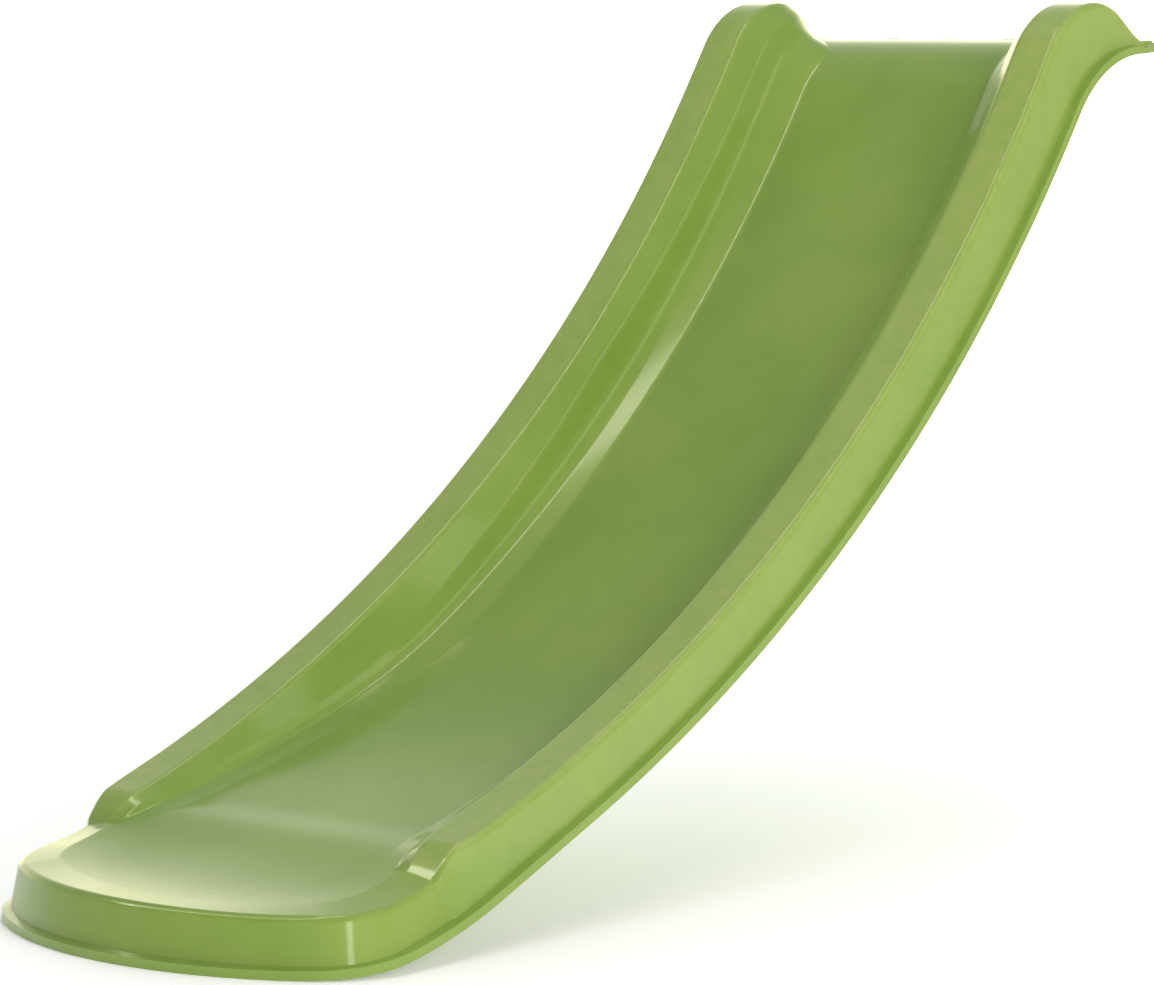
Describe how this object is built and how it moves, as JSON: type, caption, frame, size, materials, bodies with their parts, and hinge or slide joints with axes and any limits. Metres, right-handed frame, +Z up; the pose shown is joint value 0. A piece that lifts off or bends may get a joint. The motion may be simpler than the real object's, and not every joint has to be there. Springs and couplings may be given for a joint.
{
  "type": "toddler slide",
  "caption": "Straight moulded toddler slide chute with raised side rails, rounded run-out nose and a screw-down platform flange.",
  "frame": {"origin": "on the underside of the rear flange tongue, in the middle of its width, where it rests on the platform 600 mm above the ground", "axes": "+Z up, -Y down the slide towards the nose, +X across the slide to the right of a person who faces the platform"},
  "size_m": [0.362, 1.012, 0.6352],
  "materials": {
    "green_plastic": "satin moulded polyethylene",
    "screw_steel": "bright zinc plate",
    "washer_steel": "bright zinc plate"
  },
  "bodies": {
    "root": {"slide_shell": "green_plastic", "flange_screw_1": "screw_steel", "flange_screw_2": "screw_steel", "flange_screw_3": "screw_steel", "flange_screw_4": "screw_steel", "cup_washer_1": "washer_steel", "cup_washer_2": "washer_steel", "cup_washer_3": "washer_steel", "cup_washer_4": "washer_steel"}
  },
  "joints": []
}
